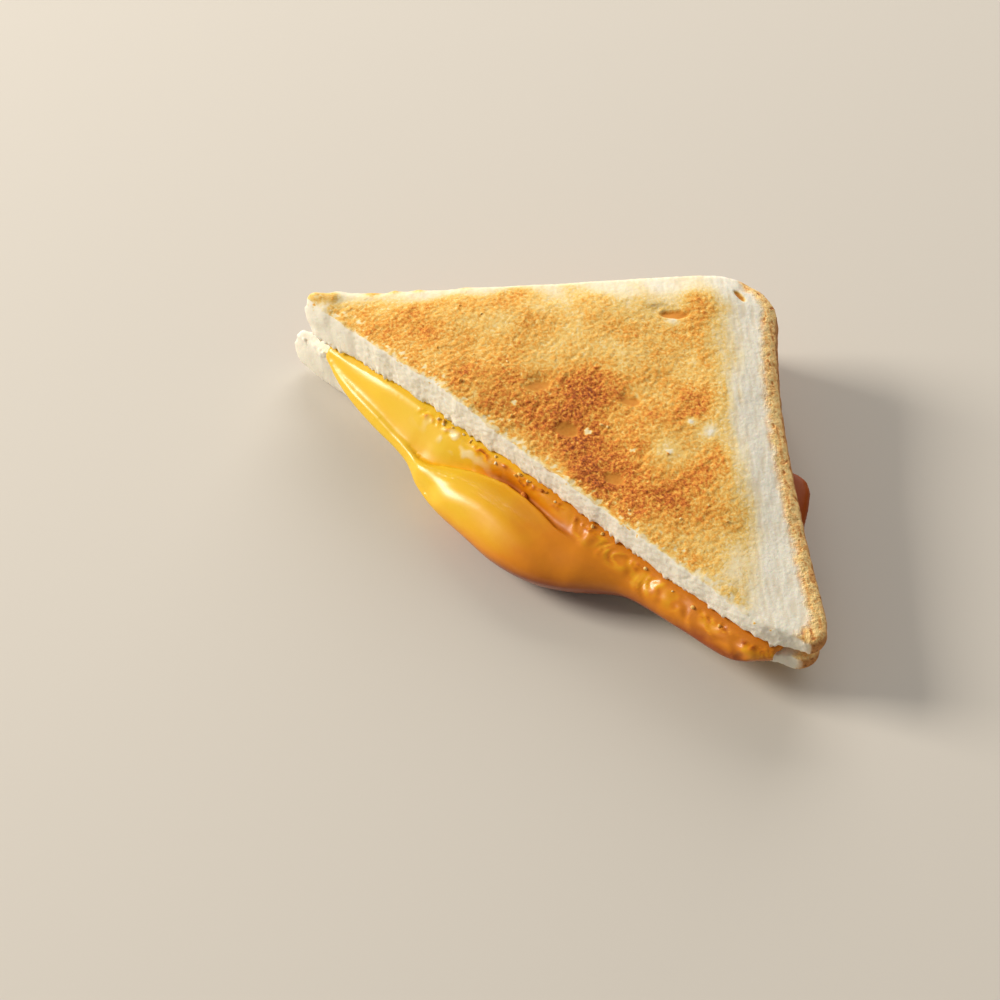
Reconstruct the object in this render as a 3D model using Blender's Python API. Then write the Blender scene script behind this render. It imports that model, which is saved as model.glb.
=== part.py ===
"""Half of a toasted cheese sandwich, lying flat on its lower slice.

The square sandwich was cut from corner to corner. Two toasted slices of bread hold a
layer of melted cheese, which bulges out of the cut as a long lip, a thick lobe and a
thinner tongue. X runs along the cut, +Y from the cut to the crust corner and +Z up.
The origin is on the flat underside, at the middle of the triangle. Units are metres.
"""
import math

import bmesh
import bpy
from mathutils import Vector, noise
from mathutils.geometry import delaunay_2d_cdt

MILLIMETRE = 0.001

# Driving dimensions of the bread
SIDE = 0.105
EXTRA_WIDTH = 0.0016
CUT_CORNER_LEFT = 0.0060
CRUST_CORNER = 0.0130
CUT_CORNER_RIGHT = 0.0160
DIAGONAL = math.sqrt(2)
HALF = SIDE / DIAGONAL
CUT_Y = -HALF / 3

# Right tip: the heading, in degrees, where the corner tightens, its radius there, and
# how far the last stretch of the cut turns in towards it
TIP_HEADING = 33
TIP_ROUND = 0.0034
TIP_TURN = 20

# Crust sides, rims and the spacing of the outline's points
LEFT_BOW = -0.0013
RIGHT_BOW = -0.0024
RIGHT_BOW_SKEW = 0.8
CRUST_RIM = 0.0026
CUT_RIM = 0.0003
RIM_ROUNDNESS = 2.6
CRUST_STEP = 0.004
CORNER_STEP = 0.0026
CUT_STEP = 0.0018

# Crown and droop of the upper face, and the lower slice's thickness, ends and lifts
CROWN = 0.0016
LEFT_DROOP = 0.0016
LEFT_DROOP_WIDTH = 0.012
RIGHT_DROOP = 0.0028
RIGHT_DROOP_WIDTH = 0.019
LOWER_SLICE = 0.0108
LOWER_NOSE_REACH = 0.0050
LOWER_TIP_SHORTFALL = 0.0012
TIP_LIFT = 0.0060
NOSE_LIFT = 0.0004
RIM_LIFT = 0.0009
NOSE_START_X = 0.052
NOSE_LENGTH = 0.018
TIP_START_X = 0.038
TIP_LENGTH = 0.030

# Flat underside: how far it reaches from the middle towards the rim, and how much less
# it reaches towards the lifted right tip and towards the nose
FLAT_MIDDLE_Y = CUT_Y * 0.35
FLAT_REACH = 0.93
FLAT_TIP_CUTBACK = 0.30
FLAT_TIP_START_X = 0.019
FLAT_TIP_LENGTH = 0.045
FLAT_NOSE_CUTBACK = 0.04
UNDERSIDE_SHARES = (0.0, 0.5)

# Upper surface of the sandwich at the two ends of the cut and at the crust corner
LEFT_TIP_Z = 0.0280
RIGHT_TIP_Z = 0.0190
CRUST_CORNER_Z = 0.0272

# Heights along the cut, as (x, z): upper slice's two edges and lower slice's upper edge
UPPER_TOP_EDGE = [(-0.068, 0.0266), (-0.050, 0.0260), (-0.028, 0.0264), (-0.010, 0.0243),
                  (0.012, 0.0226), (0.032, 0.0217), (0.052, 0.0199), (0.068, 0.0182)]
UPPER_LOW_EDGE = [(-0.068, 0.0148), (-0.056, 0.0157), (-0.043, 0.0172), (-0.020, 0.0170),
                  (0.002, 0.0166), (0.016, 0.0153), (0.030, 0.0139), (0.050, 0.0133),
                  (0.066, 0.0128)]
LOWER_TOP_EDGE = [(-0.070, 0.0120), (-0.058, 0.0114), (-0.042, 0.0106), (-0.020, 0.0099),
                  (0.020, 0.0096), (0.050, 0.0100), (0.068, 0.0112)]
EDGE_FADE = 0.016

# Cheese between the slices
CHEESE_SHEET = 0.0032
CHEESE_AT_CRUST = 0.0017
CRUST_PINCH_WIDTH = 0.015
SHEET_INSET = 0.0032
GAP = 0.0004
FACE_GAP = 0.0007
PEEK_X = 0.0400
PEEK_HALF_WIDTH = 0.0115
PEEK_REACH = 0.0058
PEEK_SWELL = 0.0016
FLOOR_CLEARANCE = 0.0008

# Cheese in front of the cut, each as (x, value) along the cut.
# Outermost point: how far it reaches from the cut, and its height
REACH = [(-0.0645, 0.0012), (-0.058, 0.0038), (-0.045, 0.0068), (-0.036, 0.0082),
         (-0.031, 0.0094), (-0.027, 0.0116), (-0.020, 0.0138), (-0.010, 0.0152),
         (0.000, 0.0161), (0.008, 0.0153), (0.015, 0.0124), (0.021, 0.0086), (0.027, 0.0055),
         (0.040, 0.0045), (0.052, 0.0041), (0.058, 0.0024), (0.0605, 0.0012)]
REACH_Z = [(-0.0645, 0.0128), (-0.058, 0.0108), (-0.045, 0.0093), (-0.034, 0.0086),
           (-0.027, 0.0074), (0.008, 0.0074), (0.027, 0.0080), (0.052, 0.0084),
           (0.0605, 0.0108)]
# Lowest point of the front
LOW_Z = [(-0.0645, 0.0118), (-0.058, 0.0095), (-0.045, 0.0078), (-0.035, 0.0063),
         (-0.028, 0.0032), (-0.020, 0.0014), (0.004, 0.0010), (0.012, 0.0018),
         (0.021, 0.0036), (0.030, 0.0048), (0.052, 0.0058), (0.0605, 0.0092)]
# Bottom of the fold where the lobe comes out from under the sheet
CREASE_OUT = [(-0.0645, 0.0008), (-0.058, 0.0025), (-0.045, 0.0046), (-0.034, 0.0066),
              (-0.027, 0.0074), (-0.021, 0.0055), (-0.0165, 0.0038), (-0.0125, 0.0027),
              (-0.008, 0.0019), (-0.003, 0.0021), (0.0025, 0.0028), (0.007, 0.0038),
              (0.013, 0.0041), (0.020, 0.0036), (0.030, 0.0022), (0.0605, 0.0008)]
CREASE_DEPTH = [(-0.058, 0.0001), (-0.045, 0.0005), (-0.034, 0.0003), (-0.027, 0.0014),
                (-0.019, 0.0030), (-0.005, 0.0032), (0.006, 0.0020), (0.014, 0.0000)]
# Top of the lobe's back, above the straight line from the bread to the outermost point
RIDGE_RISE = [(-0.0645, 0.0002), (-0.045, 0.0006), (-0.033, 0.0010), (-0.026, 0.0020),
              (-0.010, 0.0024), (0.008, 0.0020), (0.018, 0.0014), (0.030, 0.0008),
              (0.0605, 0.0002)]
CHEESE_START_X = -0.0645
CHEESE_END_X = 0.0605
SECTION_COUNT = 58
SHEET_POINTS = 5
SHEET_SPREAD = 1.3
SHEET_FRONT = 0.0006
FRONT_POINTS = 4

# How the front bends in cross-section, from the upper slice down to the lower one
FRONT_START = 0.0002
FRONT_SLOPE_POWER = 1.6
LIP_OUT = 0.0014
LIP_LEAST_OUT = 0.0003
LIP_SHARE = 0.4
LIP_DROP = 0.0007
CREASE_SHARE = 0.75
CREASE_DROP = 0.0005
RIDGE_SHARE = 0.42
RIDGE_HEIGHT = 0.6
BROW_SHARE = 0.80
UNDERCUT = 0.75
UNDER_SHARE = 0.45
UNDER_HEIGHT = 0.2
CONTACT_DROP = 0.0012
CONTACT_RISE = 0.0016

# Air holes in the toasted top: x, y, long and short radius, turn in degrees, depth
AIR_HOLES = [(-0.0147, -0.0091, 0.0032, 0.0020, 30, 0.0004),
             (-0.0011, -0.0143, 0.0034, 0.0023, 20, 0.0005),
             (0.0025, 0.0001, 0.0027, 0.0014, 15, 0.0004),
             (0.0136, -0.0173, 0.0030, 0.0020, 10, 0.0003),
             (-0.0081, 0.0232, 0.0040, 0.0018, 35, 0.0006),
             (0.0003, 0.0416, 0.0018, 0.0014, 0, 0.0005)]
HOLE_RINGS = ((0.0, 1), (0.6, 6), (1.0, 9))

# Rings up a slice's side, and the grid that closes its faces, whose margins to the rim
# and to the air holes' points are shares of the grid's spacing
SIDE_LEVELS = (0.0, 0.10, 0.36, 0.64, 0.90, 1.0)
TOP_GRID = 0.0034
HIDDEN_GRID = 0.0062
FIRST_ROW = 0.6
GRID_MARGIN = 0.62
HOLE_MARGIN = 0.3
HOLE_CLEARANCE = 0.55
NEAREST_CORNERS = 1e-6

# Unevenness: how far it reaches, and its pitch
CUT_JAG = 0.00025
CUT_JAG_PITCH = 0.0030
CUT_TOOTH = 0.0008
CUT_TOOTH_PITCH = 0.0032
TOOTH_FADE = 2.5
UPPER_TOOTH_SHARE = 0.4
NOSE_JAG = 0.0009
NOSE_JAG_PITCH = 0.0040
SURFACE_WAVE = 0.0003
SURFACE_WAVE_PITCH = 0.012

# Finish of each piece: linear colour, roughness, and the edge angle that stays sharp
TOAST = ((0.72, 0.42, 0.14), 0.8, 50)
BREAD = ((0.78, 0.62, 0.38), 0.85, 50)
CHEESE = ((0.90, 0.48, 0.05), 0.35, 60)


def smooth(t):
    """0 below 0, 1 above 1, and a soft step between."""
    t = min(1.0, max(0.0, t))
    return t * t * (3 - 2 * t)


def spline(knots, x):
    """Smooth curve through the (x, value) knots, level beyond both ends."""
    if x <= knots[0][0]:
        return knots[0][1]
    if x >= knots[-1][0]:
        return knots[-1][1]
    i = next(k for k in range(len(knots) - 1) if knots[k + 1][0] >= x)
    (x1, v1), (x2, v2) = knots[i], knots[i + 1]
    x0, v0 = knots[max(i - 1, 0)]
    x3, v3 = knots[min(i + 2, len(knots) - 1)]
    span = x2 - x1
    m1 = (v2 - v0) / (x2 - x0) * span
    m2 = (v3 - v1) / (x3 - x1) * span
    t = (x - x1) / span
    return (v1 * (2 * t**3 - 3 * t**2 + 1) + m1 * (t**3 - 2 * t**2 + t)
            + v2 * (3 * t**2 - 2 * t**3) + m2 * (t**3 - t**2))


def wave(x, y, pitch, seed):
    """Smooth unevenness between about -1 and 1, at the given pitch."""
    return 2 * noise.noise(Vector((x / pitch, y / pitch, seed * 7.3)))


def left_gap(x, y):
    """Distance in from the left crust."""
    return (HALF + x - (y - CUT_Y)) / DIAGONAL


def right_gap(x, y):
    """Distance in from the right crust."""
    return (HALF - x - (y - CUT_Y)) / DIAGONAL + EXTRA_WIDTH


def near_cut(y):
    """1 at the cut, fading to 0 inside the sandwich."""
    return math.exp(-(max(0.0, y - CUT_Y) / EDGE_FADE) ** 2)


def lower_top(x, y):
    """Upper face of the lower slice."""
    return LOWER_SLICE + (spline(LOWER_TOP_EDGE, x) - LOWER_SLICE) * near_cut(y)


def peek(x):
    """1 where cheese squeezes out past the right crust, 0 away from it."""
    return smooth(1 - abs(x - PEEK_X) / PEEK_HALF_WIDTH)


def upper_bottom(x, y):
    """Lower face of the upper slice: the lower slice plus the cheese between."""
    pinch = smooth(min(left_gap(x, y), right_gap(x, y)) / CRUST_PINCH_WIDTH)
    sheet = CHEESE_AT_CRUST + (CHEESE_SHEET - CHEESE_AT_CRUST) * pinch
    sheet += PEEK_SWELL * peek(x) * smooth(1 - right_gap(x, y) / CRUST_PINCH_WIDTH)
    inside = LOWER_SLICE + sheet
    return inside + (spline(UPPER_LOW_EDGE, x) - inside) * near_cut(y)


def crown_plane(x, y):
    """Crowned, tilted upper surface, drooping towards both crusts."""
    back = (y - CUT_Y) / HALF
    middle = (LEFT_TIP_Z + RIGHT_TIP_Z) / 2
    slope = (RIGHT_TIP_Z - LEFT_TIP_Z) / (2 * HALF)
    plane = middle + (CRUST_CORNER_Z - middle) * back + slope * x
    left = LEFT_DROOP * (1 - smooth(left_gap(x, y) / LEFT_DROOP_WIDTH))
    right = RIGHT_DROOP * (1 - smooth(right_gap(x, y) / RIGHT_DROOP_WIDTH))
    return plane + CROWN - left - right


def hole_depth(x, y):
    """How far an air hole sinks the toasted top at x, y."""
    for hole_x, hole_y, long, short, turn, depth in AIR_HOLES:
        a = math.radians(turn)
        u = ((x - hole_x) * math.cos(a) + (y - hole_y) * math.sin(a)) / long
        v = ((y - hole_y) * math.cos(a) - (x - hole_x) * math.sin(a)) / short
        if u * u + v * v < 1:
            return depth * (1 - (u * u + v * v) ** 2)
    return 0.0


def upper_top(x, y):
    """Toasted upper surface."""
    edge = spline(UPPER_TOP_EDGE, x) - crown_plane(x, CUT_Y)
    level = crown_plane(x, y) + edge * near_cut(y)
    return level + SURFACE_WAVE * wave(x, y, SURFACE_WAVE_PITCH, 1) - hole_depth(x, y)


def lower_bottom(rim_x, share):
    """Underside's height, from its flat middle (share 0) out to the rim (share 1)."""
    lift = RIM_LIFT + TIP_LIFT * smooth((rim_x - TIP_START_X) / TIP_LENGTH)
    lift += NOSE_LIFT * smooth((-rim_x - NOSE_START_X) / NOSE_LENGTH)
    return lift * share**2


def arc_points(centre_x, centre_y, radius, start, end, step):
    """Points round a baked corner, from one heading in degrees to another."""
    count = max(2, round(radius * math.radians(abs(end - start)) / step))
    headings = [math.radians(start + (end - start) * k / count) for k in range(count + 1)]
    return [(centre_x + radius * math.cos(a), centre_y + radius * math.sin(a)) for a in headings]


def flank_points(start, end, bow, skew):
    """Points between two corners along a crust side that bows out by bow.

    A skew below 1 moves the deepest bow towards the start.
    """
    (x0, y0), (x1, y1) = start, end
    length = math.hypot(x1 - x0, y1 - y0)
    out_x, out_y = (y0 - y1) / length, (x1 - x0) / length
    count = round(length / CRUST_STEP)
    points = []
    for k in range(1, count):
        t = k / count
        push = bow * math.sin(math.pi * t**skew)
        points.append((x0 + (x1 - x0) * t + out_x * push, y0 + (y1 - y0) * t + out_y * push))
    return points


def right_corner():
    """The right crust's corner, and the tighter arc that ends it at the cut."""
    right_x = HALF + (EXTRA_WIDTH - CUT_CORNER_RIGHT) * DIAGONAL
    wide = arc_points(right_x, CUT_Y, CUT_CORNER_RIGHT, 45, TIP_HEADING, CORNER_STEP)
    x, y = wide[-1]
    a = math.radians(TIP_HEADING)
    tight = arc_points(x - TIP_ROUND * math.cos(a), y - TIP_ROUND * math.sin(a), TIP_ROUND,
                       TIP_HEADING, TIP_TURN - 90, CORNER_STEP / 2)
    return wide, tight[1:]


def cut_line(x):
    """Where the cut runs at x: straight, and turned in near the right tip."""
    tip_x, tip_y = right_corner()[1][-1]
    return max(CUT_Y, tip_y - (tip_x - x) * math.tan(math.radians(TIP_TURN)))


def slice_outline(nose_reach, tip_shortfall, seed):
    """Outline of a half slice from the left tip over the crust and back along the cut.

    Each point is (x, y, out_x, out_y, crust), with out the direction that faces away
    from the bread and crust 1 on baked crust, 0 on the cut and between round the tip.
    """
    left_x = -HALF + CUT_CORNER_LEFT * DIAGONAL
    left = arc_points(left_x, CUT_Y, CUT_CORNER_LEFT, 180, 135, CORNER_STEP / 2)
    shift = EXTRA_WIDTH / DIAGONAL
    back_y = CUT_Y + HALF + shift - CRUST_CORNER * DIAGONAL
    back = arc_points(shift, back_y, CRUST_CORNER, 135, 45, CORNER_STEP)
    wide, tight = right_corner()
    crust = left + flank_points(left[-1], back[0], LEFT_BOW, 1.0) + back
    crust += flank_points(back[-1], wide[0], RIGHT_BOW, RIGHT_BOW_SKEW) + wide
    start_x, end_x = tight[-1][0], left[0][0]
    count = round((start_x - end_x) / CUT_STEP)
    cut = [start_x + (end_x - start_x) * k / count for k in range(1, count)]
    loop = [(x, y, 1.0) for x, y in crust]
    loop += [(x, y, 1 - smooth((k + 1) / len(tight))) for k, (x, y) in enumerate(tight)]
    loop += [(x, cut_line(x), 0.0) for x in cut]
    outline = []
    for k, (x, y, baked) in enumerate(loop):
        before, after = loop[k - 1], loop[(k + 1) % len(loop)]
        along = Vector((after[0] - before[0], after[1] - before[1])).normalized()
        out_x, out_y = -along.y, along.x
        nose = smooth((-x - NOSE_START_X) / NOSE_LENGTH)
        tip = smooth((x - TIP_START_X) / TIP_LENGTH)
        jag = baked * NOSE_JAG * nose * wave(x, y, NOSE_JAG_PITCH, seed)
        jag += (1 - baked) * CUT_JAG * wave(x, seed, CUT_JAG_PITCH, seed)
        x_out = x + out_x * jag - nose_reach * nose - tip_shortfall * tip
        outline.append((x_out, y + out_y * jag, out_x, out_y, baked))
    return outline


def ring(outline, level, bottom, top, seed):
    """One ring round the slice's side, at a level from 0, bottom, to 1, top."""
    points = []
    profile = 1 - (1 - abs(2 * level - 1) ** RIM_ROUNDNESS) ** (1 / RIM_ROUNDNESS)
    for x, y, out_x, out_y, baked in outline:
        rim = (CUT_RIM + (CRUST_RIM - CUT_RIM) * baked) * profile
        edge_x, edge_y = x - out_x * CRUST_RIM * baked, y - out_y * CRUST_RIM * baked
        low, high = bottom(edge_x, edge_y), top(edge_x, edge_y)
        z = low + (high - low) * level
        tooth = (1 - baked) * CUT_TOOTH
        tooth *= 0.5 + 0.5 * wave(x, seed + 5, CUT_TOOTH_PITCH, seed)
        z += tooth * (1 - smooth(TOOTH_FADE * level))
        z -= tooth * UPPER_TOOTH_SHARE * smooth(1 - TOOTH_FADE * (1 - level))
        points.append((x - out_x * rim, y - out_y * rim, z))
    return points


def inside(loop, x, y, margin):
    """Whether a point lies inside the loop, at least margin from its corners."""
    found = False
    for k in range(len(loop)):
        (x0, y0, _), (x1, y1, _) = loop[k - 1], loop[k]
        if math.hypot(x - x1, y - y1) < margin:
            return False
        if (y0 > y) != (y1 > y) and x < x0 + (y - y0) * (x1 - x0) / (y1 - y0):
            found = not found
    return found


def cap(loop, height, spacing, extra=()):
    """Triangles that close a rim: its own points, extra ones and a grid of equal triangles."""
    spots = [(x, y) for x, y in extra if inside(loop, x, y, spacing * HOLE_MARGIN)]
    row_height = spacing * math.sin(math.radians(60))
    rows = math.ceil(SIDE / row_height)
    columns = math.ceil(HALF / spacing)
    for row in range(rows):
        y = CUT_Y + row_height * (row + FIRST_ROW)
        for column in range(-columns, columns + 1):
            x = spacing * (column + 0.5 * (row % 2))
            clear = all(math.hypot(x - a, y - b) > spacing * HOLE_CLEARANCE for a, b in extra)
            if clear and inside(loop, x, y, spacing * GRID_MARGIN):
                spots.append((x, y))
    coords = [Vector((x, y)) / MILLIMETRE for x, y, _ in loop]
    coords += [Vector((x, y)) / MILLIMETRE for x, y in spots]
    edges = [(k, (k + 1) % len(loop)) for k in range(len(loop))]
    result = delaunay_2d_cdt(coords, edges, [], 1, NEAREST_CORNERS)
    points = list(loop) + [(x, y, height(x, y)) for x, y in spots]
    sources = [origins[0] for origins in result[3]]
    triangles = [[sources[corner] for corner in face] for face in result[2]]
    return points, triangles


def add_faces(bm, rings, caps, flat_end=None):
    """Build one closed skin: quads between rings, triangulated caps and a flat end."""
    rows = [[bm.verts.new(point) for point in loop] for loop in rings]
    for lower, upper in zip(rows, rows[1:]):
        for k in range(len(lower)):
            bm.faces.new((lower[k - 1], lower[k], upper[k], upper[k - 1]))
    for row, (points, triangles) in caps:
        corners = rows[row] + [bm.verts.new(point) for point in points[len(rows[row]):]]
        for triangle in triangles:
            bm.faces.new([corners[k] for k in triangle])
    if flat_end is not None:
        bm.faces.new(rows[flat_end])


def material(name, colour, roughness):
    """Plain food surface, with its colour in linear RGB."""
    surface = bpy.data.materials.new(name)
    surface.use_nodes = True
    shader = surface.node_tree.nodes["Principled BSDF"]
    shader.inputs["Base Color"].default_value = (*colour, 1)
    shader.inputs["Roughness"].default_value = roughness
    shader.inputs["Metallic"].default_value = 0
    return surface


def add_object(name, bm, surface, finish):
    """Turn the skin into a named object with outward faces and its finish."""
    colour, roughness, sharp_angle = finish
    bmesh.ops.recalc_face_normals(bm, faces=bm.faces)
    mesh = bpy.data.meshes.new(name)
    bm.to_mesh(mesh)
    bm.free()
    mesh.shade_smooth()
    mesh.set_sharp_from_angle(angle=math.radians(sharp_angle))
    mesh.materials.append(material(surface, colour, roughness))
    obj = bpy.data.objects.new(name, mesh)
    bpy.context.collection.objects.link(obj)
    return obj


def hole_points():
    """Points over and round each air hole, so that its hollow shows in the surface."""
    points = []
    for hole_x, hole_y, long, short, turn, _ in AIR_HOLES:
        a = math.radians(turn)
        for size, count in HOLE_RINGS:
            for k in range(count):
                angle = 2 * math.pi * k / count
                u, v = long * size * math.cos(angle), short * size * math.sin(angle)
                points.append((hole_x + u * math.cos(a) - v * math.sin(a),
                               hole_y + u * math.sin(a) + v * math.cos(a)))
    return points


def build_top_slice():
    """Upper slice: crowned toasted face, round crust and ragged cut."""
    outline = slice_outline(0.0, 0.0, 1)
    rings = [ring(outline, level, upper_bottom, upper_top, 1) for level in SIDE_LEVELS]
    caps = [(0, cap(rings[0], upper_bottom, HIDDEN_GRID)),
            (-1, cap(rings[-1], upper_top, TOP_GRID, hole_points()))]
    bm = bmesh.new()
    add_faces(bm, rings, caps)
    return add_object("top_slice", bm, "toast", TOAST)


def flat_share(x):
    """How far out from the middle the flat underside reaches, on the way to the rim at x."""
    tip = smooth((x - FLAT_TIP_START_X) / FLAT_TIP_LENGTH)
    nose = smooth((-x - NOSE_START_X) / NOSE_LENGTH)
    return FLAT_REACH - FLAT_TIP_CUTBACK * tip - FLAT_NOSE_CUTBACK * nose


def build_bottom_slice():
    """Lower slice: flat underside with lifted rims, nose and right tip."""
    outline = slice_outline(LOWER_NOSE_REACH, LOWER_TIP_SHORTFALL, 2)

    def rim_height(x, y):
        return lower_bottom(x, 1.0)

    rings = [ring(outline, level, rim_height, lower_top, 2) for level in SIDE_LEVELS]
    under = []
    for share in UNDERSIDE_SHARES:
        loop = []
        for x, y, _ in rings[0]:
            reach = flat_share(x) + (1 - flat_share(x)) * share
            flat_y = FLAT_MIDDLE_Y + (y - FLAT_MIDDLE_Y) * reach
            loop.append((x * reach, flat_y, lower_bottom(x, share)))
        under.append(loop)
    rings = under + rings
    bm = bmesh.new()
    add_faces(bm, rings, [(-1, cap(rings[-1], lower_top, HIDDEN_GRID))], flat_end=0)
    return add_object("bottom_slice", bm, "bread", BREAD)


def curve_through(controls, steps):
    """Points on a smooth open curve through the (out, z) controls."""
    points = []
    for k in range(len(controls) - 1):
        p0, p1 = controls[max(k - 1, 0)], controls[k]
        p2, p3 = controls[k + 1], controls[min(k + 2, len(controls) - 1)]
        d0, d1, d2 = (max(1e-5, math.dist(a, b)) for a, b in ((p0, p1), (p1, p2), (p2, p3)))
        m1 = [(p2[i] - p0[i]) * d1 / (d0 + d1) for i in (0, 1)]
        m2 = [(p3[i] - p1[i]) * d1 / (d1 + d2) for i in (0, 1)]
        for step in range(steps):
            t = step / steps
            points.append(tuple(
                p1[i] * (2 * t**3 - 3 * t**2 + 1) + m1[i] * (t**3 - 2 * t**2 + t)
                + p2[i] * (3 * t**2 - 2 * t**3) + m2[i] * (t**3 - t**2) for i in (0, 1)))
    points.append(controls[-1])
    return points


def front_profile(x):
    """Cheese in front of the cut at x, from the upper slice down and back, as (out, z)."""
    bread_low = spline(UPPER_LOW_EDGE, x)
    shelf = spline(LOWER_TOP_EDGE, x)
    reach, reach_z = spline(REACH, x), spline(REACH_Z, x)
    rise = spline(RIDGE_RISE, x)
    low = max(FLOOR_CLEARANCE, spline(LOW_Z, x))

    def slope_z(out):
        return bread_low + (reach_z - bread_low) * (max(0.0, out) / reach) ** FRONT_SLOPE_POWER

    crease_out = min(spline(CREASE_OUT, x), CREASE_SHARE * reach)
    crease_drop = CREASE_DROP + max(0.0, spline(CREASE_DEPTH, x))
    lip_out = min(LIP_OUT, LIP_SHARE * crease_out + LIP_LEAST_OUT)
    ridge_out = crease_out + RIDGE_SHARE * (reach - crease_out)
    brow_out = crease_out + BROW_SHARE * (reach - crease_out)
    low_out = max(FACE_GAP + LIP_LEAST_OUT, reach - UNDERCUT * (reach_z - low))
    contact_z = min(shelf - CONTACT_DROP, low + CONTACT_RISE)
    under_out = FACE_GAP + UNDER_SHARE * (low_out - FACE_GAP)
    controls = [(FRONT_START, bread_low - GAP),
                (lip_out, slope_z(lip_out) - LIP_DROP),
                (crease_out, slope_z(crease_out) - crease_drop),
                (ridge_out, slope_z(ridge_out) + RIDGE_HEIGHT * rise),
                (brow_out, slope_z(brow_out) + rise),
                (reach, reach_z),
                (low_out, low),
                (under_out, low + UNDER_HEIGHT * (contact_z - low)),
                (FACE_GAP, contact_z)]
    profile = []
    for out, z in curve_through(controls, FRONT_POINTS):
        if z < shelf + GAP:
            out = max(out, FACE_GAP)
        if out < FACE_GAP:
            z = min(z, bread_low - GAP)
        profile.append((out, max(z, FLOOR_CLEARANCE)))
    return profile


def sheet_back(x):
    """Back edge of the cheese between the slices, just inside the crust or past it."""
    left = CUT_Y + HALF + x
    right = CUT_Y + HALF - x + EXTRA_WIDTH * DIAGONAL
    bow = RIGHT_BOW * math.sin(math.pi * min(1.0, x / HALF) ** RIGHT_BOW_SKEW) if x > 0 else 0.0
    return min(left, right + bow) - SHEET_INSET * DIAGONAL + PEEK_REACH * DIAGONAL * peek(x)


def cheese_section(x):
    """Closed outline of the cheese in the plane across the cut at x, as (y, z)."""
    back = sheet_back(x)
    cut_y = cut_line(x)
    front_y = cut_y + SHEET_FRONT
    shares = [k / (SHEET_POINTS - 1) for k in range(SHEET_POINTS)]
    depths = [front_y + (back - front_y) * share**SHEET_SPREAD for share in shares]
    lip_z = (upper_bottom(x, back) + lower_top(x, back)) / 2
    over = [(y, upper_bottom(x, y) - GAP) for y in reversed(depths)]
    under = [(y, lower_top(x, y) + GAP) for y in depths]
    front = [(cut_y - out, z) for out, z in front_profile(x)]
    corner = (cut_y - FACE_GAP, spline(LOWER_TOP_EDGE, x) + GAP)
    half_sheet = (over[0][1] - under[-1][1]) / 2
    return over + front + [corner] + under + [(back + half_sheet, lip_z)]


def build_cheese():
    """Melted cheese: the sheet between the slices and all that bulges out of the cut."""
    span = CHEESE_END_X - CHEESE_START_X
    bm = bmesh.new()
    rows = []
    for k in range(SECTION_COUNT):
        x = CHEESE_START_X + span * k / (SECTION_COUNT - 1)
        rows.append([bm.verts.new((x, y, z)) for y, z in cheese_section(x)])
    for left, right in zip(rows, rows[1:]):
        for k in range(len(left)):
            bm.faces.new((left[k - 1], left[k], right[k], right[k - 1]))
    for row in (rows[0], rows[-1]):
        bm.faces.new(row)
    bmesh.ops.triangulate(bm, faces=[f for f in bm.faces if len(f.verts) > 4])
    return add_object("cheese", bm, "cheese", CHEESE)


def main():
    for obj in list(bpy.data.objects):
        bpy.data.objects.remove(obj)
    build_bottom_slice()
    build_cheese()
    build_top_slice()


main()
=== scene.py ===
"""Looks of the toasted cheese sandwich half: toasted bread, open crumb and melted cheese.

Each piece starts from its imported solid, is remeshed finely, and gets its own relief and
material. X runs along the cut, +Y from the cut to the crust corner and +Z up, in metres.
"""
import math
import random

import bmesh
import bpy
import numpy as np
from mathutils import Matrix, Vector, noise
from mathutils.bvhtree import BVHTree


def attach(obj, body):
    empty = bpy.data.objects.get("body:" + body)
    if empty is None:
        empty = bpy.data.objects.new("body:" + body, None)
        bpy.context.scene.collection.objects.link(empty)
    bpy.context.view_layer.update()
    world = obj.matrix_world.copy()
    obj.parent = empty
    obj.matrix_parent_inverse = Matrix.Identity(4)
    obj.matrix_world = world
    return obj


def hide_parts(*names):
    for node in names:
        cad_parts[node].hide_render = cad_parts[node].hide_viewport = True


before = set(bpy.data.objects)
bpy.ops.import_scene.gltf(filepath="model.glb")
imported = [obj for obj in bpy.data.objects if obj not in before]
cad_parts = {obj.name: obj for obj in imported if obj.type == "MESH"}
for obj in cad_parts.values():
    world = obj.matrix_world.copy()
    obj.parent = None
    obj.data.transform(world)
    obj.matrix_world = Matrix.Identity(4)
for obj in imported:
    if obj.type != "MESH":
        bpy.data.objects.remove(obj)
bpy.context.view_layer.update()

MM = 0.001
FLOOR_CLEARANCE = 0.00005
EDGE_STRIP = 0.0020

# Plan of the bread, as in the solids
SIDE = 0.105
EXTRA_WIDTH = 0.0016
CUT_CORNER_LEFT = 0.0060
CRUST_CORNER = 0.0130
CUT_CORNER_RIGHT = 0.0160
DIAGONAL = math.sqrt(2)
HALF = SIDE / DIAGONAL
CUT_Y = -HALF / 3
RIGHT_BOW = -0.0024
RIGHT_BOW_SKEW = 0.8
TIP_HEADING = 33
TIP_ROUND = 0.0034
TIP_TURN = 20
CRUST_END_HEADING = -40

# Camera at the photo's viewing angle
CAMERA_PLACE = (0.1931, -0.2350, 0.3531)
CAMERA_ELEVATION = 50.0
CAMERA_AZIMUTH = -44.4
CAMERA_ROLL = -2.4
CAMERA_LENS = 76.0
CAMERA_SENSOR = 36.0


# Small tools for fields of numbers over all points of a mesh

def smooth(t):
    """0 below 0, 1 above 1, and a soft step between."""
    t = np.clip(t, 0.0, 1.0)
    return t * t * (3 - 2 * t)


def fade(low, t):
    """low where t is 0, 1 where t is 1, and a soft step between."""
    return low + (1 - low) * smooth(t)


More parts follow.
